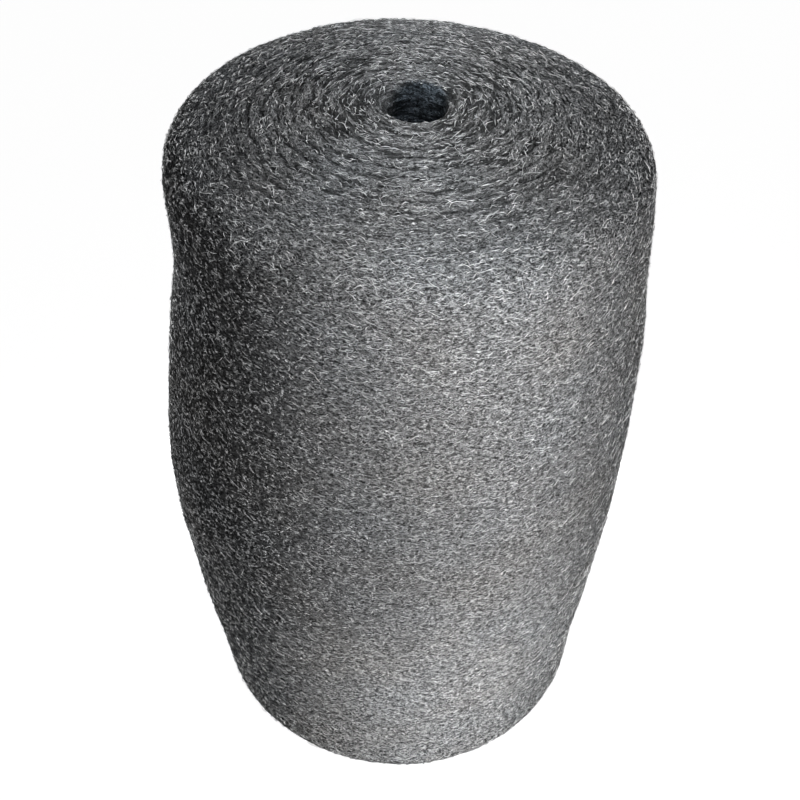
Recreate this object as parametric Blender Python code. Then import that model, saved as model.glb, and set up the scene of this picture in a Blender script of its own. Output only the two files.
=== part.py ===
"""A steel wool roll that stands on its end.

One long web of steel wool is wound on itself round an open hole. The turns show as ridges
on both ends, the rims are rounded, the top is domed and the body swells to a belly between
two slight waists. The hole is a little off the middle, and the skin swells and dips gently.
The web's inner end is a low step down the hole, and its outer end is a low step down the
back. The roll is soft, so its ridges, rims and waists are all gentle.

Metres, +Z up. The origin is under the middle of the roll, on the surface it stands on, and
the front of the roll faces -Y.
"""

import math
from collections import namedtuple

import bmesh
import bpy
from mathutils import Vector

# The body
BELLY_RADIUS = 0.0999
EDGE_HEIGHT = 0.3037
CROWN = 0.0099
TOP_RIM = 0.0145
BASE_RIM = 0.0072

# The hole
BORE_RADIUS = 0.0100
MOUTH_FLARE = 0.0070
BASE_FLARE = 0.0040
HOLE_RIGHT = 0.0030
HOLE_BACK = 0.0025

# The wound web
WEB_THICKNESS = 0.0052
WEB_END = 0.0015
TOP_GROOVE = 0.0016
BASE_GROOVE = 0.0010
LOOSE_GROOVE = 0.0018
LOOSE_RADIUS = 0.0255
LOOSE_WIDTH = 0.0035
TAIL_AZIMUTH = math.radians(100)
SHOULDER_ANGLE = math.radians(68)
LAND_SHARE = 0.56

# Up the side, from its lowest point: share of its height, how far the side is drawn in from
# the belly, and how far the outer turns have slipped to the right there
SIDE_STATIONS = (
    (0.000, 0.0104, 0.0052),
    (0.125, 0.0078, 0.0030),
    (0.250, 0.0040, 0.0019),
    (0.500, 0.0000, 0.0002),
    (0.750, 0.0044, 0.0029),
    (0.875, 0.0089, 0.0031),
    (1.000, 0.0098, 0.0011),
)

# The packed wool is a little high in one place and low in another, as the sum of a few waves:
# the way each one runs, its length, where it starts and how high it is
SWELLS = (
    ((0.85, 0.20, 0.49), 0.069, 0.4, 0.00009),
    ((-0.35, 0.80, 0.49), 0.078, 2.1, 0.00009),
    ((0.45, -0.60, 0.66), 0.062, 3.7, 0.00007),
    ((0.10, 0.30, 0.95), 0.083, 5.2, 0.00008),
    ((0.70, 0.70, -0.14), 0.057, 1.3, 0.00007),
)
SWELL_START = 0.020

# How finely the surface is divided
STEPS_ROUND = 48
SIDE_ROWS = 14
SHOULDER_ROWS = 2
BORE_ROWS = 5
SMOOTH_ANGLE = math.radians(40)

STEEL_WOOL = (0.150, 0.152, 0.155, 1.0)

End = namedtuple("End", "height crown rim rim_radius flare up groove loose land")
Spot = namedtuple("Spot", "radius height out_radial out_up")


def slope(first, second, column):
    return (second[column] - first[column]) / (second[0] - first[0])


def side_value(share, column):
    """The draw-in (column 1) or the slip (column 2) at a share of the side's height.

    It runs through the stations on a smooth curve, whose slope at a station is the slope
    between the stations on either side of it.
    """
    share = min(max(share, 0.0), 1.0)
    last = len(SIDE_STATIONS) - 1
    lower = 0
    while lower < last - 1 and share > SIDE_STATIONS[lower + 1][0]:
        lower += 1
    start = SIDE_STATIONS[lower]
    stop = SIDE_STATIONS[lower + 1]
    width = stop[0] - start[0]
    lead_in = slope(SIDE_STATIONS[max(lower - 1, 0)], stop, column) * width
    lead_out = slope(start, SIDE_STATIONS[min(lower + 2, last)], column) * width
    place = (share - start[0]) / width
    square = place * place
    cube = square * place
    return (
        (2 * cube - 3 * square + 1) * start[column]
        + (cube - 2 * square + place) * lead_in
        + (3 * square - 2 * cube) * stop[column]
        + (cube - square) * lead_out
    )


def side_radius(share):
    return BELLY_RADIUS - side_value(share, 1)


def make_ends():
    """The two ends of the roll: the domed top and the pressed base."""
    top = End(EDGE_HEIGHT, CROWN, TOP_RIM, side_radius(1.0), MOUTH_FLARE, 1, TOP_GROOVE,
              LOOSE_GROOVE, 0.0)
    base = End(0.0, 0.0, BASE_RIM, side_radius(0.0), BASE_FLARE, -1, BASE_GROOVE,
               0.0, LAND_SHARE)
    return top, base


def edge_slope(end):
    """The slope at which the domed face meets the rounded rim."""
    return math.atan(2 * end.crown / (end.rim_radius - end.rim))


def face_edge(end):
    """The radius at which the face ends and the rounded rim begins."""
    return end.rim_radius - end.rim * (1 - math.sin(edge_slope(end)))


def rim_centre_height(end):
    """The height at which the rounded rim has turned straight down into the side."""
    return end.height - end.up * end.rim * math.cos(edge_slope(end))


def face_start(end):
    """The radius at which the flared mouth of the hole has turned flat into the face."""
    return BORE_RADIUS + end.flare


def dome(end, radius):
    return end.height + end.up * end.crown * (1 - (radius / face_edge(end)) ** 2)


def mouth_height(end):
    """The height at which the straight bore turns into the flared mouth."""
    return dome(end, face_start(end)) - end.up * end.flare


def lengths(end):
    """How long the flared mouth, the face and the rim's wound stretch are, along the surface."""
    flare = end.flare * math.pi / 2
    face = face_edge(end) - face_start(end)
    rim = end.rim * (SHOULDER_ANGLE - edge_slope(end))
    return flare, face, rim


def spot_on_end(end, along):
    """The spot at a distance along the surface, from the top of the bore to the shoulder."""
    flare, face, _ = lengths(end)
    if along < flare:
        angle = along / end.flare
        radius = face_start(end) - end.flare * math.cos(angle)
        height = mouth_height(end) + end.up * end.flare * math.sin(angle)
        return Spot(radius, height, -math.cos(angle), end.up * math.sin(angle))
    if along < flare + face:
        radius = face_start(end) + along - flare
        slope = 2 * end.crown * radius / face_edge(end) ** 2
        scale = math.hypot(1, slope)
        return Spot(radius, dome(end, radius), slope / scale, end.up / scale)
    return spot_on_rim(end, edge_slope(end) + (along - flare - face) / end.rim)


def spot_on_rim(end, angle):
    radius = end.rim_radius - end.rim * (1 - math.sin(angle))
    height = rim_centre_height(end) + end.up * end.rim * math.cos(angle)
    return Spot(radius, height, math.sin(angle), end.up * math.cos(angle))


def turn_count(end):
    """How many turns of the web fit along an end, from the hole to the shoulder."""
    return max(3, round((sum(lengths(end)) - WEB_END) / WEB_THICKNESS) + 1)


def wound_distance(end, turns, wound):
    """How far along an end the web has got after a number of turns. Its two ends are thin."""
    pitch = (sum(lengths(end)) - WEB_END) / (turns - 1)
    full = min(max(wound - 1, 0), turns - 1)
    return WEB_END * min(wound, 1) + pitch * full + WEB_END * max(wound - turns, 0)


def end_lift(turns, wound):
    """How far the thin ends of the web stand out, inside the hole and over the last turn."""
    return WEB_END * (max(1 - wound, 0) + max(wound - turns, 0))


def groove_depth(end, radius):
    """The grooves between turns are shallow, but for one where the turns have parted."""
    parted = math.exp(-(((radius - LOOSE_RADIUS) / LOOSE_WIDTH) ** 2))
    return end.groove + end.loose * parted


def rows_of(end):
    """The rows of one turn, as a share of the web's thickness and whether it is a groove."""
    if end.land:
        half = end.land / 2
        return ((0.0, True), (0.5 - half, False), (0.5 + half, False))
    return ((0.0, True), (0.5, False))


def swell(radius, height, azimuth):
    """How high the wool swells at a place. It is even round the hole and on the pressed base."""
    place = Vector((radius * math.cos(azimuth), radius * math.sin(azimuth), height))
    total = 0.0
    for way, length, start, high in SWELLS:
        total += high * math.sin(math.tau * Vector(way).dot(place) / length + start)
    off_hole = min(max((radius - SWELL_START) / SWELL_START, 0.0), 1.0)
    off_base = min(max(height / SWELL_START, 0.0), 1.0)
    return total * off_hole * off_base


def lifted(spot, lift, azimuth, side):
    """The point over a spot. The outer turns have slipped sideways, the inner ones less."""
    lift += swell(spot.radius, spot.height, azimuth)
    radius = spot.radius + lift * spot.out_radial
    height = spot.height + lift * spot.out_up
    low, high = side
    outer = radius / BELLY_RADIUS
    slip = side_value((height - low) / (high - low), 2) * outer
    x = slip + HOLE_RIGHT * (1 - outer) + radius * math.cos(azimuth)
    y = HOLE_BACK * (1 - outer) + radius * math.sin(azimuth)
    return Vector((x, y, height))


def end_vertex(end, turns, row, step, side):
    """A vertex of the wound end: a row of grooves and crests that follows the spiral."""
    rows = rows_of(end)
    turn, place = divmod(row, len(rows))
    share, groove = rows[place]
    round_share = step / STEPS_ROUND
    inner = turn + round_share
    outer = inner + 1 if share else inner
    along = wound_distance(end, turns, inner) * (1 - share)
    along += wound_distance(end, turns, outer) * share
    lift = end_lift(turns, inner) * (1 - share) + end_lift(turns, outer) * share
    spot = spot_on_end(end, along)
    if groove and 0 < turn < turns:
        lift -= groove_depth(end, spot.radius)
    return lifted(spot, lift, TAIL_AZIMUTH + math.tau * round_share, side)


def wind_end(mesh, end, turns, side):
    """All the vertices of an end. A row joins the same row of the next turn at the seam."""
    per_turn = len(rows_of(end))
    last = per_turn * turns
    grid = []
    for row in range(last + 1):
        steps = range(STEPS_ROUND)
        grid.append([mesh.verts.new(end_vertex(end, turns, row, s, side)) for s in steps])
    for row in range(last + 1):
        if row + per_turn <= last:
            grid[row].append(grid[row + per_turn][0])
        else:
            closing = end_vertex(end, turns, row, STEPS_ROUND, side)
            grid[row].append(mesh.verts.new(closing))
    return grid


def side_spots(top, base):
    """The spots of the outer skin between the two wound shoulders, from the top down."""
    quarter = math.pi / 2
    high = rim_centre_height(top)
    low = rim_centre_height(base)
    over = [SHOULDER_ANGLE + (quarter - SHOULDER_ANGLE) * i / SHOULDER_ROWS
            for i in range(1, SHOULDER_ROWS + 1)]
    spots = [spot_on_rim(top, angle) for angle in over]
    for row in range(1, SIDE_ROWS):
        share = 1 - row / SIDE_ROWS
        spots.append(Spot(side_radius(share), low + share * (high - low), 1.0, 0.0))
    return spots + [spot_on_rim(base, angle) for angle in reversed(over)]


def bore_spots(top, base):
    """The spots of the straight wall of the hole, from the top down."""
    high = mouth_height(top)
    low = mouth_height(base)
    shares = [row / BORE_ROWS for row in range(1, BORE_ROWS)]
    return [Spot(BORE_RADIUS, high + (low - high) * share, -1.0, 0.0) for share in shares]


def wrap(mesh, spots, lift_at, side):
    """Rows of vertices right round the roll, from one side of the web's step to the other."""
    rows = []
    for spot in spots:
        row = []
        for step in range(STEPS_ROUND + 1):
            share = step / STEPS_ROUND
            azimuth = TAIL_AZIMUTH + math.tau * share
            row.append(mesh.verts.new(lifted(spot, lift_at(share), azimuth, side)))
        rows.append(row)
    return rows


def skin(mesh, rows):
    """Quads between neighbouring rows."""
    for upper, lower in zip(rows, rows[1:]):
        for step in range(STEPS_ROUND):
            mesh.faces.new((upper[step], lower[step], lower[step + 1], upper[step + 1]))


def close_step(mesh, rows):
    """The narrow face down the step that an end of the web makes."""
    for upper, lower in zip(rows, rows[1:]):
        mesh.faces.new((upper[0], upper[-1], lower[-1], lower[0]))


def close_web_ends(mesh, grid, per_turn):
    """The cut edge of the web where it starts at the hole and where it stops at the shoulder."""
    mesh.faces.new([grid[row][0] for row in range(per_turn + 1)])
    mesh.faces.new([grid[row][-1] for row in range(len(grid) - per_turn - 1, len(grid))])


def centre(mesh):
    """Moves the roll so that the origin is under the middle of its box."""
    for axis in (0, 1):
        places = [vertex.co[axis] for vertex in mesh.verts]
        middle = (min(places) + max(places)) / 2
        for vertex in mesh.verts:
            vertex.co[axis] -= middle


def roll_mesh():
    """The whole roll as one closed surface."""
    top, base = make_ends()
    side = (rim_centre_height(base), rim_centre_height(top))
    mesh = bmesh.new()
    top_grid = wind_end(mesh, top, turn_count(top), side)
    base_grid = wind_end(mesh, base, turn_count(base), side)
    outer = wrap(mesh, side_spots(top, base), lambda share: WEB_END * share, side)
    outer = [top_grid[-1]] + outer + [base_grid[-1]]
    inner = wrap(mesh, bore_spots(top, base), lambda share: WEB_END * (1 - share), side)
    inner = [top_grid[0]] + inner + [base_grid[0]]
    for rows in (top_grid, base_grid, outer, inner):
        skin(mesh, rows)
    for rows in (outer, inner):
        close_step(mesh, rows)
    close_web_ends(mesh, top_grid, len(rows_of(top)))
    close_web_ends(mesh, base_grid, len(rows_of(base)))
    bmesh.ops.triangulate(mesh, faces=mesh.faces[:])
    bmesh.ops.recalc_face_normals(mesh, faces=mesh.faces[:])
    centre(mesh)
    return mesh


def steel_wool_material():
    material = bpy.data.materials.new("steel_wool")
    material.use_nodes = True
    shader = material.node_tree.nodes["Principled BSDF"]
    shader.inputs["Base Color"].default_value = STEEL_WOOL
    shader.inputs["Metallic"].default_value = 0.8
    shader.inputs["Roughness"].default_value = 0.55
    return material


def make_roll():
    mesh = roll_mesh()
    data = bpy.data.meshes.new("steel_wool_roll")
    mesh.to_mesh(data)
    mesh.free()
    data.shade_smooth()
    data.set_sharp_from_angle(angle=SMOOTH_ANGLE)
    data.materials.append(steel_wool_material())
    roll = bpy.data.objects.new("steel_wool_roll", data)
    bpy.context.collection.objects.link(roll)
    return roll


def clear_scene():
    for thing in list(bpy.data.objects):
        bpy.data.objects.remove(thing, do_unlink=True)


clear_scene()
make_roll()
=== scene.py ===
"""The steel wool roll, dressed: a lumpy body of packed wool, tens of thousands of loose fibres
on it, a pale floor and soft studio light, seen from the photograph's angle.
"""

import collections
import math

import bpy
import numpy as np
from mathutils import Matrix, Vector


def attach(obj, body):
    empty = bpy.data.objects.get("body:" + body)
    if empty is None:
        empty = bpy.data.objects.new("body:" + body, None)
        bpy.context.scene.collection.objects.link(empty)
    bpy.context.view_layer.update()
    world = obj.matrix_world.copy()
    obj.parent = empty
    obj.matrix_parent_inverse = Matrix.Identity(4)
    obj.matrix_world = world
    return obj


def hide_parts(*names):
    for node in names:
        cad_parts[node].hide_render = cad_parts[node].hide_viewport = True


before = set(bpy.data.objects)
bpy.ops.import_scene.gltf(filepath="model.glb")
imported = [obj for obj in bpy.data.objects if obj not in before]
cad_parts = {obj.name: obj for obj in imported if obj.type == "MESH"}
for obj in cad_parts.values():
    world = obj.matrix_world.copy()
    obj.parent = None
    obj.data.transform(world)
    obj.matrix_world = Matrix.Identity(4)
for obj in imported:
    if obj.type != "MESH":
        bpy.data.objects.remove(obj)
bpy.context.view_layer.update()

NODE = "steel_wool_roll"
BODY = "root"
MM = 0.001

# The roll's own sizes, as in the part's source, in metres
BELLY_RADIUS = 0.0999
EDGE_HEIGHT = 0.3037
CROWN = 0.0099
TOP_RIM = 0.0145
BASE_RIM = 0.0072
BORE_RADIUS = 0.0100
MOUTH_FLARE = 0.0070
BASE_FLARE = 0.0040
HOLE_RIGHT = 0.0030
HOLE_BACK = 0.0025
WEB_THICKNESS = 0.0052
WEB_END = 0.0015
TAIL_AZIMUTH = math.radians(100)

# The side, from foot to rim: share of its height, draw-in from the belly, slip to the right
SIDE_STATIONS = (
    (0.000, 0.0104, 0.0052),
    (0.125, 0.0078, 0.0030),
    (0.250, 0.0040, 0.0019),
    (0.500, 0.0000, 0.0002),
    (0.750, 0.0044, 0.0029),
    (0.875, 0.0089, 0.0031),
    (1.000, 0.0098, 0.0011),
)

# The swells, as waves: direction, length, start and height
SWELLS = (
    ((0.85, 0.20, 0.49), 0.069, 0.4, 0.00009),
    ((-0.35, 0.80, 0.49), 0.078, 2.1, 0.00009),
    ((0.45, -0.60, 0.66), 0.062, 3.7, 0.00007),
    ((0.10, 0.30, 0.95), 0.083, 5.2, 0.00008),
    ((0.70, 0.70, -0.14), 0.057, 1.3, 0.00007),
)
SWELL_START = 0.020

# The camera, found by fitting the roll's outline in the 800 pixel photograph
PHOTO_PIXELS = 800
FOCAL_PIXELS = 1200
SENSOR_MM = 36.0
CAMERA_DISTANCE = 0.4448
CAMERA_ELEVATION = 0.557
CAMERA_PITCH = 0.782
CAMERA_YAW = -0.001
CAMERA_ROLL = -0.045
CAMERA_RIGHT = 0.0014
CAMERA_CLIP = 0.01


# The shape of the roll, as an outline that is turned round the hole

MOUTH_POINTS = 24
FACE_POINTS = 160
RIM_POINTS = 40
SIDE_POINTS = 400
BORE_POINTS = 200
NORMAL_REACH = 1.2 * MM


def slope(first, second, column):
    """The rise of a column from one station to another, per share of the height."""
    return (second[column] - first[column]) / (second[0] - first[0])


def side_value(share, column):
    """The draw-in (column 1) or the slip (column 2) at shares of the side's height."""
    share = np.clip(np.asarray(share, float), 0.0, 1.0)
    last = len(SIDE_STATIONS) - 1
    result = np.zeros_like(share)
    for lower in range(last):
        start = SIDE_STATIONS[lower]
        stop = SIDE_STATIONS[lower + 1]
        width = stop[0] - start[0]
        lead_in = slope(SIDE_STATIONS[max(lower - 1, 0)], stop, column) * width
        lead_out = slope(start, SIDE_STATIONS[min(lower + 2, last)], column) * width
        t = (share - start[0]) / width
        value = (
            (2 * t**3 - 3 * t**2 + 1) * start[column] + (t**3 - 2 * t**2 + t) * lead_in
            + (3 * t**2 - 2 * t**3) * stop[column] + (t**3 - t**2) * lead_out
        )
        inside = (share >= start[0]) & (share <= stop[0])
        result = np.where(inside, value, result)
    return result


def end_outline(height, crown, rim, rim_radius, flare, up):
    """An end's outline from the bore to the side: flared mouth, domed face, rounded rim."""
    tilt = math.atan(2 * crown / (rim_radius - rim))
    edge = rim_radius - rim * (1 - math.sin(tilt))
    start = BORE_RADIUS + flare
    turned_down = height - up * rim * math.cos(tilt)
    mouth = height + up * crown * (1 - (start / edge) ** 2) - up * flare
    angle = np.linspace(0, math.pi / 2, MOUTH_POINTS)
    radii = [start - flare * np.cos(angle)]
    heights = [mouth + up * flare * np.sin(angle)]
    face = np.linspace(start, edge, FACE_POINTS)[1:]
    radii.append(face)
    heights.append(height + up * crown * (1 - (face / edge) ** 2))
    angle = np.linspace(tilt, math.pi / 2, RIM_POINTS)[1:]
    radii.append(rim_radius - rim * (1 - np.sin(angle)))
    heights.append(turned_down + up * rim * np.cos(angle))
    return np.concatenate(radii), np.concatenate(heights), turned_down, mouth


class Outline:
    """The closed outline: top face outwards, side down, base inwards, bore up."""

    def __init__(self):
        radius_top = BELLY_RADIUS - float(side_value(1.0, 1))
        radius_base = BELLY_RADIUS - float(side_value(0.0, 1))
        r1, z1, high, mouth = end_outline(EDGE_HEIGHT, CROWN, TOP_RIM, radius_top, MOUTH_FLARE, 1)
        r2, z2, low, foot = end_outline(0.0, 0.0, BASE_RIM, radius_base, BASE_FLARE, -1)
        share = np.linspace(1, 0, SIDE_POINTS)[1:-1]
        r3 = BELLY_RADIUS - side_value(share, 1)
        z3 = low + share * (high - low)
        z4 = np.linspace(foot, mouth, BORE_POINTS)[1:-1]
        radius = np.concatenate([r1, r3, r2[::-1], np.full_like(z4, BORE_RADIUS), r1[:1]])
        height = np.concatenate([z1, z3, z2[::-1], z4, z1[:1]])
        steps = np.hypot(np.diff(radius), np.diff(height))
        self.high = high
        self.low = low
        self.along = np.concatenate([[0], np.cumsum(steps)])
        self.length = self.along[-1]
        self.radius = radius
        self.height = height
        self.marks = {
            "face": self.along[len(r1) - 1],
            "side": self.along[len(r1) + len(r3)],
            "base": self.along[len(r1) + len(r3) + len(r2) - 1],
        }

    def at(self, along):
        """Radius, height and outward direction at a distance along the outline."""
        along = np.mod(along, self.length)
        radius = np.interp(along, self.along, self.radius)
        height = np.interp(along, self.along, self.height)
        ahead = np.mod(along + NORMAL_REACH, self.length)
        behind = np.mod(along - NORMAL_REACH, self.length)
        dr = np.interp(ahead, self.along, self.radius) - np.interp(behind, self.along, self.radius)
        dz = np.interp(ahead, self.along, self.height) - np.interp(behind, self.along, self.height)
        size = np.maximum(np.hypot(dr, dz), 1e-9)
        return radius, height, -dz / size, dr / size


OUTLINE = Outline()


def slip_at(height, radius):
    """How far the turns have slipped to the right, less and less towards the hole."""
    share = (height - OUTLINE.low) / (OUTLINE.high - OUTLINE.low)
    return side_value(share, 2) * radius / BELLY_RADIUS


def swell(radius, height, azimuth):
    """How high the wool swells at a place. It is even round the hole and on the pressed base."""
    x = radius * np.cos(azimuth)
    y = radius * np.sin(azimuth)
    total = 0.0
    for way, length, start, high in SWELLS:
        across = way[0] * x + way[1] * y + way[2] * height
        total = total + high * np.sin(math.tau * across / length + start)
    off_hole = np.clip((radius - SWELL_START) / SWELL_START, 0, 1)
    off_base = np.clip(height / SWELL_START, 0, 1)
    return total * off_hole * off_base


def shell_points(along, azimuth, lift):
    """Points at a lift above the turned outline, with its swells and the slip of the turns."""
    radius, height, out_radial, out_up = OUTLINE.at(along)
    lift = lift + swell(radius, height, azimuth)
    radius = radius + lift * out_radial
    height = height + lift * out_up
    outer = radius / BELLY_RADIUS
    x = slip_at(height, radius) + HOLE_RIGHT * (1 - outer) + radius * np.cos(azimuth)
    y = HOLE_BACK * (1 - outer) + radius * np.sin(azimuth)
    return np.stack([x - CENTRE[0], y - CENTRE[1], height], axis=-1)


# Smooth seeded noise in space, the same on every run

LATTICE = 32


def lattice_noise(points, size, seed):
    """Smooth noise from -1 to 1 with lumps about as large as size."""
    random = np.random.default_rng(seed)
    table = random.uniform(-1, 1, (LATTICE, LATTICE, LATTICE))
    scaled = points / size
    cell = np.floor(scaled).astype(int)
    part = scaled - cell
    part = part * part * (3 - 2 * part)
    total = np.zeros(points.shape[:-1])
    for corner in range(8):
        step = np.array([corner & 1, (corner >> 1) & 1, (corner >> 2) & 1])
        index = (cell + step) % LATTICE
        weight = np.prod(np.where(step, part, 1 - part), axis=-1)
        total += weight * table[index[..., 0], index[..., 1], index[..., 2]]
    return total


# The body: the steps of its grid, its grooves and ends, the pressed foot, the sagging side of the
# hole with more painted shade, and the seam where the web's outer end lies; grooves and seam get
# painted shade

BODY_COLUMNS = 330
TOP_STEP = 1.4 * MM
SIDE_STEP = 2.2 * MM
BASE_STEP = 2.2 * MM
BORE_STEP = 8.0 * MM
GROOVE_WIDTH = 0.12
GROOVE_DEPTH = 0.9 * MM
GROOVE_MEAN = 0.35
GROOVE_GAIN = 1.5
END_SOFT = 8 * MM
RIM_FREE = 16 * MM
RIM_FADE = 20 * MM
FACES_DOWN = -0.5
PRESSED_HEIGHT = 0.004
PRESSED_FLAT = 0.001
PRESSED_DOWN = 0.3 * MM
PRESSED_TUFTS = 0.2
HOLE_BACK_TURN = math.radians(-15)
# How far the hole's painted shade reaches out from the bore, at the front and at the back, and how
# softly it fades
HOLE_SHADE_FRONT_MM = 1.5
HOLE_SHADE_BACK_MM = 5.5
HOLE_SHADE_FADE = 3 * MM
HOLE_SAG = 0.8 * MM
HOLE_SAG_REACH = 26 * MM
HOLE_SAG_FADE = 8 * MM
HOLE_SAG_ABOVE = 0.2
# The seam where the web's outer end lies is painted darker, as painted shade along its step
SEAM_WIDTH = 1.6 * MM
SEAM_SHADE = 0.85

# Layers of noise on the surface: height, size in metres, and seed. The heights of lumps and
# tufts are in mm, those that shift the grooves in turns, and that of the seam in metres.
LUMPS = (0.22, 0.012, 2)
LARGE_TUFTS = (0.11, 0.0042, 3)
SMALL_TUFTS = (0.12, 0.0024, 4)
SEAM_WANDER = (0.9 * MM, 0.013, 5)
GROOVE_WANDER = (0.30, 0.016, 11)
GROOVE_WOBBLE = (0.12, 0.006, 12)
GROOVE_FADE = (0.65, 0.011, 13)


def layer(points, kind):
    """One layer of noise."""
    high, size, seed = kind
    return high * lattice_noise(points, size, seed)


def tail_share(azimuth):
    """How far round the roll a spot is from the web's outer end, from 0 to 1."""
    return np.mod(azimuth - TAIL_AZIMUTH, math.tau) / math.tau


def winding_phase(along, azimuth):
    """The place within a turn, from 0 to 1, with a groove at 0."""
    return np.mod(along / WEB_THICKNESS - tail_share(azimuth), 1.0)


def groove_shape(along, azimuth, points):
    """How deep the grooves between turns are, from 0 to 1, fading in and out like packed wool."""
    wander = layer(points, GROOVE_WANDER) + layer(points, GROOVE_WOBBLE)
    phase = np.mod(winding_phase(along, azimuth) + wander, 1.0)
    away = np.minimum(phase, 1 - phase)
    strength = GROOVE_MEAN + layer(points, GROOVE_FADE)
    return np.exp(-((away / GROOVE_WIDTH) ** 2)) * np.clip(strength * GROOVE_GAIN, 0.0, 1)


def end_weight(along):
    """1 on the two wound ends, 0 on the side and in the bore, with soft edges."""
    along = np.mod(along, OUTLINE.length)
    face = OUTLINE.marks["face"]
    side = OUTLINE.marks["side"]
    base = OUTLINE.marks["base"]
    top = np.clip((face - RIM_FREE - along) / END_SOFT, 0, 1)
    low = np.clip((along - side) / END_SOFT, 0, 1) * np.clip((base - along) / END_SOFT, 0, 1)
    return np.maximum(top, low)


def bore_weight(along):
    """1 in the bore, 0 elsewhere."""
    along = np.mod(along, OUTLINE.length)
    return (along > OUTLINE.marks["base"]).astype(float)


def relief(along, azimuth):
    """The wool's lift over the outline, how much painted shade it gets in a groove or on the seam,
    and how much deep in the hole.
    """
    points = shell_points(along, azimuth, np.zeros_like(along))
    radius, height, _, out_up = OUTLINE.at(along)
    ends = end_weight(along)
    bore = bore_weight(along)
    groove = groove_shape(along, azimuth, points)
    lumps = layer(points, LUMPS)
    tufts = layer(points, LARGE_TUFTS) + layer(points, SMALL_TUFTS)
    lift = (lumps + tufts) * MM
    lift -= groove * ends * GROOVE_DEPTH
    skin = (1 - ends) * (1 - bore)
    below_rim = np.clip((OUTLINE.high - height) / RIM_FADE, 0, 1)
    lift += WEB_END * tail_share(azimuth) * skin * below_rim
    below = out_up < FACES_DOWN
    pressed = np.clip((PRESSED_HEIGHT - height) / PRESSED_HEIGHT, 0, 1) * below
    flat = -PRESSED_DOWN - groove * MM + PRESSED_TUFTS * tufts * MM
    lift = lift * (1 - pressed) + pressed * flat
    lift = np.where(below & (height < PRESSED_FLAT), np.minimum(lift, 0), lift)
    at_back = np.clip(np.sin(azimuth - HOLE_BACK_TURN), 0, 1) ** 2
    # Painted shade in the hole and its mouth, reaching further out at the back
    reach = BORE_RADIUS + (HOLE_SHADE_FRONT_MM + HOLE_SHADE_BACK_MM * at_back) * MM
    deep = np.clip((reach - radius) / HOLE_SHADE_FADE, 0, 1)
    near_hole = np.clip((HOLE_SAG_REACH - radius) / HOLE_SAG_FADE, 0, 1)
    lift = lift - HOLE_SAG * at_back * near_hole * (height > HOLE_SAG_ABOVE)
    # Painted shade along the seam where the web's outer end lies, returned with the grooves'
    # painted shade
    past_end = tail_share(azimuth) * math.tau * radius
    past_end = past_end + layer(points, SEAM_WANDER)
    seam = np.exp(-((past_end / SEAM_WIDTH) ** 2)) * skin * below_rim
    return lift, np.maximum(groove * ends, SEAM_SHADE * seam), deep


def grid_faces(rows, columns):
    """Quads of a grid that closes on itself both ways."""
    row = np.arange(rows)[:, None]
    column = np.arange(columns)[None, :]
    next_row = (row + 1) % rows
    next_column = (column + 1) % columns
    corners = (
        row * columns + column,
        next_row * columns + column,
        next_row * columns + next_column,
        row * columns + next_column,
    )
    return np.stack([np.broadcast_to(c, (rows, columns)) for c in corners], -1).reshape(-1, 4)


def mesh_object(name, points, faces, material):
    """A smooth mesh object from arrays of points and of faces with the same number of corners."""
    sides = faces.shape[1]
    data = bpy.data.meshes.new(name)
    data.vertices.add(len(points))
    data.vertices.foreach_set("co", points.astype(np.float32).ravel())
    data.loops.add(faces.size)
    data.loops.foreach_set("vertex_index", faces.astype(np.int32).ravel())
    data.polygons.add(len(faces))
    starts = np.arange(0, faces.size, sides, dtype=np.int32)
    data.polygons.foreach_set("loop_start", starts)
    data.update(calc_edges=True)
    data.validate()
    data.shade_smooth()
    data.materials.append(material)
    thing = bpy.data.objects.new(name, data)
    bpy.context.collection.objects.link(thing)
    return thing


def set_point_value(thing, name, values):
    """Store a number at each point, for a material to read."""
    store = thing.data.attributes.new(name, "FLOAT", "POINT")
    store.data.foreach_set("value", values.astype(np.float32).ravel())


def make_body(material):
    """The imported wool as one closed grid, finest on the top."""
    marks = OUTLINE.marks
    along = np.concatenate([
        np.arange(0, marks["face"], TOP_STEP),
        np.arange(marks["face"], marks["side"], SIDE_STEP),
        np.arange(marks["side"], marks["base"], BASE_STEP),
        np.arange(marks["base"], OUTLINE.length - BORE_STEP / 2, BORE_STEP),
    ])
    rows = len(along)
    azimuth = np.linspace(0, math.tau, BODY_COLUMNS + 1)[:-1]
    along, azimuth = np.meshgrid(along, azimuth, indexing="ij")
    lift, groove, deep = relief(along, azimuth)
    points = shell_points(along, azimuth, lift).reshape(-1, 3)
    body = mesh_object("wool_body", points, grid_faces(rows, BODY_COLUMNS), material)
    # Painted shade for the material to read: in the grooves, on the seam and in the hole
    set_point_value(body, "groove", groove.ravel())
    set_point_value(body, "deep", deep.ravel())
    return body


# The loose fibres

FIBRE_SIDES = 3
FIBRE_TILT = math.radians(24)
STRAY_TILT = math.radians(38)
FIBRE_FLOOR = 0.4 * MM
LENGTH_SPREAD = 0.35
SWAY_TURNS = (0.5, 1.6)
SWAY_SIZE = (0.4, 1.3)
BOB_TURNS = (0.5, 1.5)
BOB_SHARE = 0.4
LEAST_RADIUS = 4 * MM
WIDTH_SPREAD = (0.6, 1.3)
TAPER_PLACES = (0, 0.15, 0.85, 1)
TAPER_WIDTHS = (0.35, 1, 1, 0.35)
SPREAD_POINTS = 2000

# Below this height the fibres grow wider and the streaks taller, as they are farther off
LOW = 0.16
LOW_WIDER = 0.4

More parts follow.
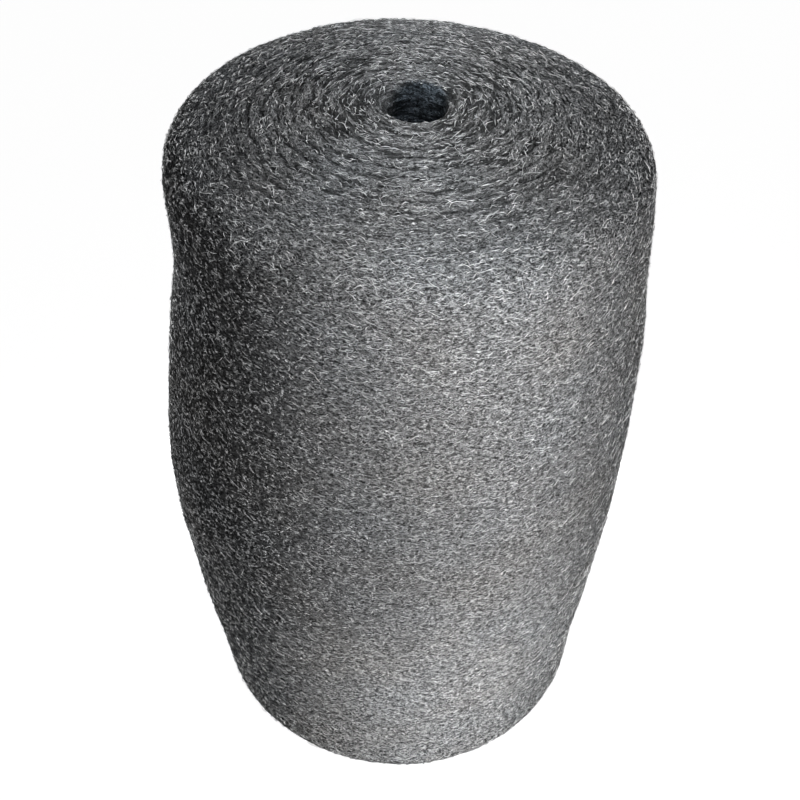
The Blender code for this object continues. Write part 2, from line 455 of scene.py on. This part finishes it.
# Points along a fibre, length, tilt, size of its waves, range of its lift over the wool, how far
# its ends droop, and width
Fibre = collections.namedtuple("Fibre", "points length tilt wave lift droop width")
SHORT = Fibre(3, 2.7 * MM, FIBRE_TILT, 0.40 * MM, (-0.15 * MM, 0.45 * MM), 0.30 * MM, 0.24 * MM)
STRAY = Fibre(7, 6.0 * MM, STRAY_TILT, 0.70 * MM, (0.1 * MM, 0.8 * MM), 0.50 * MM, 0.17 * MM)


def spread_along(random, count, low, high):
    """Distances along the outline, spread evenly over the turned surface."""
    table = np.linspace(low, high, SPREAD_POINTS)
    radius = OUTLINE.at(table)[0]
    share = np.concatenate([[0], np.cumsum((radius[1:] + radius[:-1]) / 2)])
    return np.interp(random.uniform(0, share[-1], count), share, table)


def fibre_lines(random, count, low, high, kind):
    """The middle lines of many fibres, laid round the roll with a random tilt and waves."""
    along = spread_along(random, count, low, high)[:, None]
    azimuth = random.uniform(0, math.tau, count)[:, None]
    heading = random.normal(0, kind.tilt, count)[:, None]
    size = kind.length * random.lognormal(0, LENGTH_SPREAD, count)[:, None]
    t = np.linspace(-0.5, 0.5, kind.points)[None, :]
    run = t * size
    turns = random.uniform(*SWAY_TURNS, count)[:, None]
    phase = random.uniform(0, math.tau, count)[:, None]
    wave = kind.wave * random.uniform(*SWAY_SIZE, count)[:, None]
    sway = wave * np.sin(math.tau * turns * t + phase)
    turns = random.uniform(*BOB_TURNS, count)[:, None]
    phase = random.uniform(0, math.tau, count)[:, None]
    bob = BOB_SHARE * kind.wave * np.sin(math.tau * turns * t + phase)
    across = run * np.sin(heading) + sway * np.cos(heading)
    round_by = run * np.cos(heading) - sway * np.sin(heading)
    radius = np.maximum(OUTLINE.at(along + across)[0], LEAST_RADIUS)
    place = along + across
    angle = azimuth + round_by / radius
    ground = relief(place, angle)[0]
    rise = random.uniform(*kind.lift, count)[:, None]
    ends = np.abs(t) * 2
    height = ground + rise + bob - kind.droop * ends**3
    return shell_points(place, angle, height)


def tubes(lines, width):
    """Closed three-sided tubes round the lines, thin at both ends."""
    count, steps, _ = lines.shape
    ahead = np.gradient(lines, axis=1)
    ahead /= np.maximum(np.linalg.norm(ahead, axis=-1, keepdims=True), 1e-12)
    away = lines - lines.mean(axis=(0, 1)) * [1, 1, 0]
    away[..., 2] = 0
    side = np.cross(ahead, away)
    side /= np.maximum(np.linalg.norm(side, axis=-1, keepdims=True), 1e-12)
    top = np.cross(side, ahead)
    taper = np.interp(np.linspace(0, 1, steps), TAPER_PLACES, TAPER_WIDTHS)
    half = (width[:, None] / 2) * taper[None, :]
    rings = []
    for corner in range(FIBRE_SIDES):
        angle = math.tau * corner / FIBRE_SIDES
        offset = side * math.cos(angle) + top * math.sin(angle)
        rings.append(lines + offset * half[..., None])
    points = np.stack(rings, axis=2).reshape(-1, 3)
    return points, tube_faces(count, steps)


def tube_faces(count, steps):
    """Triangles of the tubes' sides and of their two ends."""
    faces = []
    for step in range(steps - 1):
        for corner in range(FIBRE_SIDES):
            following = (corner + 1) % FIBRE_SIDES
            a = step * FIBRE_SIDES + corner
            b = step * FIBRE_SIDES + following
            c = a + FIBRE_SIDES
            d = b + FIBRE_SIDES
            faces.append((a, b, d))
            faces.append((a, d, c))
    last = (steps - 1) * FIBRE_SIDES
    faces.append((2, 1, 0))
    faces.append((last, last + 1, last + 2))
    one = np.array(faces)
    starts = np.arange(count)[:, None, None] * steps * FIBRE_SIDES
    return (one[None] + starts).reshape(-1, 3)


def make_fibres(name, seed, count, stretch, kind, tones, material):
    """One piece of loose fibres on a stretch of the outline, each with its own tone."""
    random = np.random.default_rng(seed)
    lines = fibre_lines(random, count, stretch[0], stretch[1], kind)
    lines[..., 2] = np.maximum(lines[..., 2], FIBRE_FLOOR)
    widths = kind.width * random.uniform(*WIDTH_SPREAD, count)
    widths *= 1 + LOW_WIDER * np.clip(1 - lines[:, 0, 2] / LOW, 0, 1)
    points, faces = tubes(lines, widths)
    fibres = mesh_object(name, points, faces, material)
    tone = random.uniform(*tones, count)
    set_point_value(fibres, "tone", np.repeat(tone, kind.points * FIBRE_SIDES))
    return fibres


# Materials

class Graph:
    """A short way to write a material's nodes."""

    def __init__(self, name):
        self.material = bpy.data.materials.new(name)
        self.material.use_nodes = True
        self.nodes = self.material.node_tree.nodes
        self.links = self.material.node_tree.links
        self.shader = self.nodes["Principled BSDF"]

    def put(self, socket, value):
        if isinstance(value, bpy.types.NodeSocket):
            self.links.new(value, socket)
        else:
            socket.default_value = value

    def math(self, operation, first, second=0.0, third=0.0, clamp=False):
        node = self.nodes.new("ShaderNodeMath")
        node.operation = operation
        node.use_clamp = clamp
        for socket, value in zip(node.inputs, (first, second, third)):
            self.put(socket, value)
        return node.outputs[0]

    def cut(self, value, gain, shift):
        """A value times a gain plus a shift, kept between 0 and 1."""
        return self.math("MULTIPLY_ADD", value, gain, shift, clamp=True)

    def vector(self, x, y, z):
        node = self.nodes.new("ShaderNodeCombineXYZ")
        for socket, value in zip(node.inputs, (x, y, z)):
            self.put(socket, value)
        return node.outputs[0]

    def noise(self, place, scale, w=None, detail=2.0, roughness=0.5):
        node = self.nodes.new("ShaderNodeTexNoise")
        if w is not None:
            node.noise_dimensions = "4D"
            self.put(node.inputs["W"], w)
        self.put(node.inputs["Vector"], place)
        self.put(node.inputs["Scale"], scale)
        self.put(node.inputs["Detail"], detail)
        self.put(node.inputs["Roughness"], roughness)
        return node

    def ramp(self, value, stops):
        node = self.nodes.new("ShaderNodeValToRGB")
        elements = node.color_ramp.elements
        while len(elements) < len(stops):
            elements.new(0.5)
        for element, (position, colour) in zip(elements, stops):
            element.position = position
            element.color = (*colour, 1.0)
        self.put(node.inputs["Fac"], value)
        return node.outputs["Color"]

    def mix(self, factor, first, second, blend="MIX"):
        node = self.nodes.new("ShaderNodeMix")
        node.data_type = "RGBA"
        node.blend_type = blend
        self.put(node.inputs["Factor"], factor)
        self.put(node.inputs[6], first)
        self.put(node.inputs[7], second)
        return node.outputs[2]

    def attribute(self, name):
        node = self.nodes.new("ShaderNodeAttribute")
        node.attribute_name = name
        return node.outputs["Fac"]

    def place(self):
        return self.nodes.new("ShaderNodeTexCoord").outputs["Object"]

    def split(self, vector):
        node = self.nodes.new("ShaderNodeSeparateXYZ")
        self.links.new(vector, node.inputs[0])
        return node.outputs


LOW_STRETCH = 0.40

# The size of the streaks' bends, how far they wander, their length and thickness, and a shift in
# the noise that keeps each kind apart
Streak = collections.namedtuple("Streak", "reach wander length thickness shift")
COARSE = Streak(2.0 * MM, 2.3 * MM, 2.7 * MM, 0.95 * MM, 0.0)
FINE = Streak(1.4 * MM, 1.6 * MM, 1.9 * MM, 0.66 * MM, 7.3)
PITS = Streak(1.5 * MM, 1.8 * MM, 1.6 * MM, 0.64 * MM, 3.7)
GAPS = Streak(7 * MM, 2.2 * MM, 11 * MM, 1.5 * MM, 12.0)


def low_stretch(graph, z):
    """A height in which the wool's streaks grow taller below LOW, up to the foot."""
    low = graph.math("MINIMUM", z, LOW)
    grown = graph.math("MULTIPLY_ADD", graph.math("MULTIPLY", low, low), -0.5 / LOW, low)
    return graph.math("MULTIPLY_ADD", grown, -LOW_STRETCH, z)


def flat_length(graph, x, y):
    """How far a place is from the axis."""
    square = graph.math("ADD", graph.math("MULTIPLY", x, x), graph.math("MULTIPLY", y, y))
    return graph.math("SQRT", square)


def streaks(graph, kind):
    """Smooth noise drawn out round the roll, whose streaks wander up and down."""
    place = graph.place()
    x, y, z = graph.split(place)
    z = low_stretch(graph, z)
    radius = flat_length(graph, x, y)
    wobble = graph.noise(place, 1 / kind.reach, w=kind.shift, detail=1.0)
    wx, wy, _ = graph.split(wobble.outputs["Color"])
    up = graph.math("MULTIPLY_ADD", wx, kind.wander, z)
    out = graph.math("MULTIPLY_ADD", wy, kind.wander, radius)
    across = 1 / kind.thickness
    lengthwise = 1 / kind.length
    vector = graph.vector(
        graph.math("MULTIPLY", x, lengthwise),
        graph.math("MULTIPLY", y, lengthwise),
        graph.math("MULTIPLY", up, across),
    )
    w = graph.math("MULTIPLY_ADD", out, across, kind.shift)
    return graph.noise(vector, 1.0, w=w, detail=1.5, roughness=0.6).outputs["Fac"]


def strands(graph, kind, sharpness):
    """A tangle of thin bright lines that run round the roll."""
    value = streaks(graph, kind)
    ridge = graph.math("ABSOLUTE", graph.math("MULTIPLY_ADD", value, 2.0, -1.0))
    return graph.math("SUBTRACT", 1.0, graph.math("MULTIPLY", ridge, sharpness), clamp=True)


# Painted shade where the turns part on the top. Each pair is a gain and a shift, for Graph.cut.
LINE_WANDER_SIZE = 9 * MM
LINE_WANDER = 1.1
LINE_EDGE = (-8.0, 1.2)
LINE_BREAK_SIZE = 7 * MM
LINE_BREAKS = (7.0, -3.1)
GAP_GAIN = -9.0
GAP_SHIFT = 4.1
GAP_SHADE = 0.8
GAP_MORE_AHEAD = 0.1
GAP_MORE_SIDEWAYS = 1.3
AROUND_HOLE = (-1 / (18 * MM), 2.6)
OFF_THE_RIM = (-1 / (25 * MM), 3.2)
TOP_FADE = 8 * MM
TOP_START = EDGE_HEIGHT - 12 * MM


def partings(graph):
    """Painted shade on the top, from 0 to 1: thin broken lines where the turns part, and gaps,
    more of them round the hole.
    """
    place = graph.place()
    x, y, z = graph.split(place)
    flat = flat_length(graph, x, y)
    inner = graph.math("MULTIPLY_ADD", flat, -1 / BELLY_RADIUS, 1.0)
    x = graph.math("SUBTRACT", x, graph.math("MULTIPLY", inner, HOLE_RIGHT))
    y = graph.math("SUBTRACT", y, graph.math("MULTIPLY", inner, HOLE_BACK))
    radius = flat_length(graph, x, y)
    turned = graph.math("MULTIPLY", graph.math("ARCTAN2", y, x), -1 / math.tau)
    wander = graph.noise(place, 1 / LINE_WANDER_SIZE, detail=1.0).outputs["Fac"]
    turns = graph.math("MULTIPLY_ADD", radius, 1 / WEB_THICKNESS, turned)
    phase = graph.math("ADD", turns, graph.math("MULTIPLY", wander, LINE_WANDER))
    near = graph.math("ABSOLUTE", graph.math("SUBTRACT", graph.math("FRACT", phase), 0.5))
    line = graph.cut(near, *LINE_EDGE)
    shown = graph.noise(place, 1 / LINE_BREAK_SIZE, w=4.0, detail=1.0).outputs["Fac"]
    line = graph.math("MULTIPLY", line, graph.cut(shown, *LINE_BREAKS))
    # More painted shade to the left and right of the hole than ahead of and behind it, standing in
    # for the highlights the fibres there miss
    sideways = graph.math("DIVIDE", graph.math("ABSOLUTE", x), radius)
    more = graph.math("MULTIPLY_ADD", sideways, GAP_MORE_SIDEWAYS, GAP_MORE_AHEAD)
    more = graph.math("MULTIPLY", graph.cut(radius, *AROUND_HOLE), more)
    gaps = graph.cut(streaks(graph, GAPS), GAP_GAIN, graph.math("ADD", more, GAP_SHIFT))
    line = graph.math("MAXIMUM", line, graph.math("MULTIPLY", gaps, GAP_SHADE))
    line = graph.math("MULTIPLY", line, graph.cut(radius, *OFF_THE_RIM))
    return graph.math("MULTIPLY", line, graph.cut(z, 1 / TOP_FADE, -TOP_START / TOP_FADE))


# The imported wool, with a gain and a shift in each pair
COARSE_SHARPNESS = 7.2
FINE_SHARPNESS = 5.3
FINE_HEIGHT = 0.8
# Painted shade in the grooves, on the seam and in the partings, and how much of the strands' light
# it takes
GROOVE_SHADE = 0.75
SHADE_LOSS = -0.8
# Painted light: the strands are painted lighter towards the foot
LOW_LIGHTER = 0.38
# The strands' colours: painted shade between them, the wool's grey, and painted glints on the
# crests
WOOL_SHADES = (
    (0.0, (0.080, 0.080, 0.080)),
    (0.25, (0.145, 0.145, 0.146)),
    (0.55, (0.28, 0.281, 0.283)),
    (0.80, (0.50, 0.502, 0.506)),
    (1.0, (0.85, 0.852, 0.855)),
)
BLACK_TO_WHITE = ((0.0, (0, 0, 0)), (1.0, (1, 1, 1)))
# Pits between the strands, painted in shade, with deeper shade towards the foot
PIT_EDGE = (5.0, -1.75)
PIT_SHADE = 0.30
PIT_SHADE_LOW = -0.20
PARTED_SHADE = -0.5
TINT_SCALE = 22.0
TINTS = (
    (0.30, (1.00, 0.985, 0.965)),
    (0.50, (0.99, 0.99, 0.99)),
    (0.70, (0.965, 0.985, 1.00)),
)
# Painted bluish shade inside the hole
HOLE_SHADE_TINT = (0.34, 0.40, 0.46, 1.0)
CREST_EDGE = (3.0, -1.8)
SPARSE_SIZE = 1.5 * MM
SPARSE_EDGE = (6.0, -3.1)
ROUGHNESS = 0.48
CREST_SMOOTHER = -0.15
BUMP_STRENGTH = 0.9
BUMP_DISTANCE = 0.55 * MM


def wool_material():
    """Strands with painted glints and shade, pits and partings in painted shade, sparse bright
    metal crests, and painted bluish shade inside the hole.
    """
    graph = Graph("steel_wool_body")
    coarse = strands(graph, COARSE, COARSE_SHARPNESS)
    fine = strands(graph, FINE, FINE_SHARPNESS)
    height = graph.math("MAXIMUM", coarse, graph.math("MULTIPLY", fine, FINE_HEIGHT))
    parted = partings(graph)
    deep = graph.attribute("deep")
    # Painted shade from the grooves, the seam and the partings dims the strands
    groove = graph.math("MULTIPLY", graph.attribute("groove"), GROOVE_SHADE)
    dark = graph.math("MAXIMUM", groove, parted)
    lit = graph.math("MULTIPLY", height, graph.math("MULTIPLY_ADD", dark, SHADE_LOSS, 1.0))
    # Towards the foot the strands get painted light and the pits more painted shade
    low = graph.cut(graph.split(graph.place())[2], -1 / LOW, 1.0)
    lit = graph.math("MULTIPLY", lit, graph.math("MULTIPLY_ADD", low, LOW_LIGHTER, 1.0))
    colour = graph.ramp(lit, WOOL_SHADES)
    # Painted shade in the pits between the strands
    pits = graph.cut(streaks(graph, PITS), *PIT_EDGE)
    darkest = graph.math("MULTIPLY_ADD", low, PIT_SHADE_LOW, PIT_SHADE)
    shade = graph.math("MULTIPLY_ADD", graph.math("SUBTRACT", 1.0, pits), darkest, pits)
    # The partings' painted shade, laid on the colour a second time
    parting = graph.math("MULTIPLY_ADD", parted, PARTED_SHADE, 1.0)
    grey = graph.ramp(graph.math("MULTIPLY", shade, parting), BLACK_TO_WHITE)
    colour = graph.mix(1.0, colour, grey, "MULTIPLY")
    patches = graph.noise(graph.place(), TINT_SCALE, detail=1.0).outputs["Fac"]
    colour = graph.mix(1.0, colour, graph.ramp(patches, TINTS), "MULTIPLY")
    # Painted shade inside the hole: the wool's colour darkened and turned bluish
    shaded_in_hole = graph.mix(1.0, colour, HOLE_SHADE_TINT, "MULTIPLY")
    colour = graph.mix(deep, colour, shaded_in_hole)
    graph.put(graph.shader.inputs["Base Color"], colour)
    crest = graph.cut(graph.math("MAXIMUM", coarse, fine), *CREST_EDGE)
    sparse = graph.noise(graph.place(), 1 / SPARSE_SIZE, w=9.0, detail=0.0).outputs["Fac"]
    shine = graph.math("MULTIPLY", crest, graph.cut(sparse, *SPARSE_EDGE))
    bare = graph.math("SUBTRACT", 1.0, graph.math("MAXIMUM", dark, deep), clamp=True)
    graph.put(graph.shader.inputs["Metallic"], graph.math("MULTIPLY", shine, bare))
    graph.shader.inputs["Specular IOR Level"].default_value = 0.0
    rough = graph.math("MULTIPLY_ADD", height, CREST_SMOOTHER, ROUGHNESS)
    graph.put(graph.shader.inputs["Roughness"], rough)
    bump = graph.nodes.new("ShaderNodeBump")
    bump.inputs["Strength"].default_value = BUMP_STRENGTH
    bump.inputs["Distance"].default_value = BUMP_DISTANCE
    graph.put(bump.inputs["Height"], graph.math("SUBTRACT", height, parted))
    graph.links.new(bump.outputs["Normal"], graph.shader.inputs["Normal"])
    return graph.material


FIBRE_NOISE_SCALE = 520.0
MIDDLE_TONE = 0.50
# A fibre's colours, from dark up to painted glints
FIBRE_SHADES = (
    (0.0, (0.03, 0.03, 0.03)),
    (0.45, (0.34, 0.341, 0.343)),
    (0.85, (0.95, 0.955, 0.96)),
)
FIBRE_SHINE = (1.7, -1.1)
FIBRE_ROUGHNESS = 0.40


def fibre_material():
    """A fibre's own random tone, broken up along it into short light bits, painted glints. The
    lightest bits are bare metal.
    """
    graph = Graph("steel_fibre")
    tone = graph.math("SUBTRACT", graph.attribute("tone"), MIDDLE_TONE)
    # Short light bits along each fibre: painted glints
    broken = graph.noise(graph.place(), FIBRE_NOISE_SCALE, detail=1.0).outputs["Fac"]
    value = graph.math("ADD", broken, tone)
    graph.put(graph.shader.inputs["Base Color"], graph.ramp(value, FIBRE_SHADES))
    graph.put(graph.shader.inputs["Metallic"], graph.cut(value, *FIBRE_SHINE))
    graph.shader.inputs["Specular IOR Level"].default_value = 0.0
    graph.shader.inputs["Roughness"].default_value = FIBRE_ROUGHNESS
    return graph.material


# The studio

FLOOR_SIZE = 8.0
FLOOR_GLOW = 0.97
FLOOR_SEEN = (0.40, 0.40, 0.40, 1.0)
FLOOR_BOUNCE = (0.05, 0.05, 0.05, 1.0)
FILL_LIGHT = 0.032


def seen_or_reflected(graph):
    """1 for what the camera, a reflection or a refraction sees, 0 for the light it gives."""
    path = graph.nodes.new("ShaderNodeLightPath")
    seen = graph.math("MAXIMUM", path.outputs["Is Camera Ray"], path.outputs["Is Glossy Ray"])
    return graph.math("MAXIMUM", seen, path.outputs["Is Transmission Ray"])


def floor_material():
    """Pale where it is seen, dark as a source of light, and matt enough to keep the shadow."""
    graph = Graph("studio_floor")
    seen = seen_or_reflected(graph)
    colour = graph.mix(seen, FLOOR_BOUNCE, FLOOR_SEEN)
    graph.put(graph.shader.inputs["Base Color"], colour)
    graph.shader.inputs["Emission Color"].default_value = (1.0, 1.0, 1.0, 1.0)
    graph.put(graph.shader.inputs["Emission Strength"], graph.math("MULTIPLY", seen, FLOOR_GLOW))
    graph.shader.inputs["Roughness"].default_value = 1.0
    graph.shader.inputs["Specular IOR Level"].default_value = 0.0
    return graph.material


def make_floor():
    half = FLOOR_SIZE / 2
    corners = [(-half, -half, 0), (half, -half, 0), (half, half, 0), (-half, half, 0)]
    points = np.array(corners, float)
    floor = mesh_object("studio_floor", points, np.array([[0, 1, 2, 3]]), floor_material())


def make_world():
    """White where it is seen, and only a weak fill as a source of light."""
    world = bpy.data.worlds.new("studio_world")
    bpy.context.scene.world = world
    world.use_nodes = True
    nodes = world.node_tree.nodes
    links = world.node_tree.links
    back = nodes["Background"]
    path = nodes.new("ShaderNodeLightPath")
    seen = nodes.new("ShaderNodeMath")
    seen.operation = "MAXIMUM"
    links.new(path.outputs["Is Camera Ray"], seen.inputs[0])
    links.new(path.outputs["Is Glossy Ray"], seen.inputs[1])
    through = nodes.new("ShaderNodeMath")
    through.operation = "MAXIMUM"
    links.new(seen.outputs[0], through.inputs[0])
    links.new(path.outputs["Is Transmission Ray"], through.inputs[1])
    strength = nodes.new("ShaderNodeMapRange")
    strength.inputs["To Min"].default_value = FILL_LIGHT
    strength.inputs["To Max"].default_value = 1.0
    links.new(through.outputs[0], strength.inputs["Value"])
    links.new(strength.outputs["Result"], back.inputs["Strength"])
    back.inputs["Color"].default_value = (1.0, 1.0, 1.0, 1.0)


def strip_lamp(name, place, target, size, watts, colour):
    """A narrow strip of light at a place, turned to a target."""
    data = bpy.data.lights.new(name, "AREA")
    data.shape = "RECTANGLE"
    data.size = size[0]
    data.size_y = size[1]
    data.energy = watts
    data.color = colour
    lamp = bpy.data.objects.new(name, data)
    lamp.location = place
    away = Vector(place) - Vector(target)
    lamp.rotation_euler = away.to_track_quat("Z", "Y").to_euler()
    bpy.context.collection.objects.link(lamp)


# The upright strips: azimuth in degrees from +X, distance, height and length in metres, watts.
# The front ones were fitted to the photograph's shades. The back ones only light the back.
STRIP_WIDTH = 0.05
STRIP_COLOUR = (1.0, 1.0, 1.0)
STRIPS = (
    ("key_strip", -62, 0.19, 0.17, 0.40, 0.312),
    ("foot_strip", -76, 0.19, 0.05, 0.14, 0.088),
    ("rim_strip", -70, 0.19, 0.30, 0.14, 0.09),
    ("left_strip", -160, 0.30, 0.15, 0.40, 0.052),
    ("right_strip", -2, 0.30, 0.15, 0.40, 0.06),
    ("back_strip_right", 42, 0.19, 0.15, 0.30, 0.20),
    ("back_strip_middle", 90, 0.19, 0.15, 0.30, 0.14),
    ("back_strip_left", 138, 0.19, 0.15, 0.30, 0.20),
)
TOP_STRIP_OVER = (0.010, -0.04, 0.31)
TOP_STRIP_RISE = 0.06
TOP_STRIP_SIZE = (0.03, 0.30)
TOP_STRIP_WATTS = 0.142
TOP_STRIP_COLOUR = (0.94, 0.975, 1.0)


def make_lamps():
    for name, azimuth, distance, height, length, watts in STRIPS:
        a = math.radians(azimuth)
        level = Vector((0, 0, height))
        beside = Vector((math.cos(a), math.sin(a), 0)) * distance
        strip_lamp(name, beside + level, level, (STRIP_WIDTH, length), watts, STRIP_COLOUR)
    over = Vector(TOP_STRIP_OVER)
    above = over + Vector((0, 0, TOP_STRIP_RISE))
    strip_lamp("top_strip", above, over, TOP_STRIP_SIZE, TOP_STRIP_WATTS, TOP_STRIP_COLOUR)


def make_camera():
    """The camera at the photograph's place, by its fitted distance, angles and focal length."""
    apex = Vector((CAMERA_RIGHT, 0.0, EDGE_HEIGHT))
    offset = Vector((0.0, -math.cos(CAMERA_ELEVATION), math.sin(CAMERA_ELEVATION)))
    level = math.cos(CAMERA_PITCH)
    ahead = Vector((
        math.sin(CAMERA_YAW) * level, math.cos(CAMERA_YAW) * level, -math.sin(CAMERA_PITCH),
    ))
    right = ahead.cross(Vector((0, 0, 1))).normalized()
    up = right.cross(ahead)
    c = math.cos(CAMERA_ROLL)
    s = math.sin(CAMERA_ROLL)
    rolled_right = right * c - up * s
    rolled_up = right * s + up * c
    turn = Matrix((rolled_right, rolled_up, -ahead)).transposed()
    data = bpy.data.cameras.new("camera")
    data.sensor_width = SENSOR_MM
    data.lens = FOCAL_PIXELS / PHOTO_PIXELS * SENSOR_MM
    data.clip_start = CAMERA_CLIP
    camera = bpy.data.objects.new("camera", data)
    camera.matrix_world = Matrix.Translation(apex + offset * CAMERA_DISTANCE) @ turn.to_4x4()
    bpy.context.collection.objects.link(camera)
    bpy.context.scene.camera = camera


CENTRE_ROWS = 600
CENTRE_COLUMNS = 721


def find_centre():
    """How far the raw shape's box is off the hole's axis, which the part's source takes off."""
    along = np.linspace(0, OUTLINE.length, CENTRE_ROWS)
    azimuth = np.linspace(0, math.tau, CENTRE_COLUMNS)
    along, azimuth = np.meshgrid(along, azimuth, indexing="ij")
    lift = WEB_END * tail_share(azimuth) * (1 - end_weight(along)) * (1 - bore_weight(along))
    points = shell_points(along, azimuth, lift).reshape(-1, 3)
    middle = (points.min(axis=0) + points.max(axis=0)) / 2
    return float(middle[0]), float(middle[1])


# shell_points takes the centre off, so it is nothing until it has been found
CENTRE = (0.0, 0.0)
CENTRE = find_centre()


def dress(piece):
    """Put a piece on the roll's body."""
    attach(piece, BODY)


def main():
    body = make_body(wool_material())
    dress(body)
    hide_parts(NODE)
    steel = fibre_material()
    face = OUTLINE.marks["face"]
    side = OUTLINE.marks["side"]
    base = OUTLINE.marks["base"]
    skin = (face - 12 * MM, side + 6 * MM)
    # name, seed, count, stretch of the outline, kind of fibre, range of tones
    batches = (
        ("fibres_side_1", 21, 14000, skin, SHORT, (0.30, 0.95)),
        ("fibres_side_2", 22, 14000, skin, SHORT, (0.30, 1.05)),
        ("fibres_side_3", 23, 13000, skin, SHORT, (0.40, 1.20)),
        ("fibres_rim", 27, 3000, (face - 30 * MM, face + 45 * MM), SHORT, (0.30, 1.05)),
        ("fibres_top", 24, 9600, (8 * MM, face - 4 * MM), SHORT, (0.25, 1.12)),
        ("fibres_base", 25, 1500, (side, base - 4 * MM), SHORT, (0.15, 0.9)),
        ("fibres_stray", 26, 700, (16 * MM, side + 6 * MM), STRAY, (0.35, 1.10)),
    )
    for name, seed, count, stretch, kind, tones in batches:
        dress(make_fibres(name, seed, count, stretch, kind, tones, steel))
    make_floor()
    make_world()
    make_lamps()
    make_camera()
    bpy.context.scene.view_settings.view_transform = "Standard"


main()
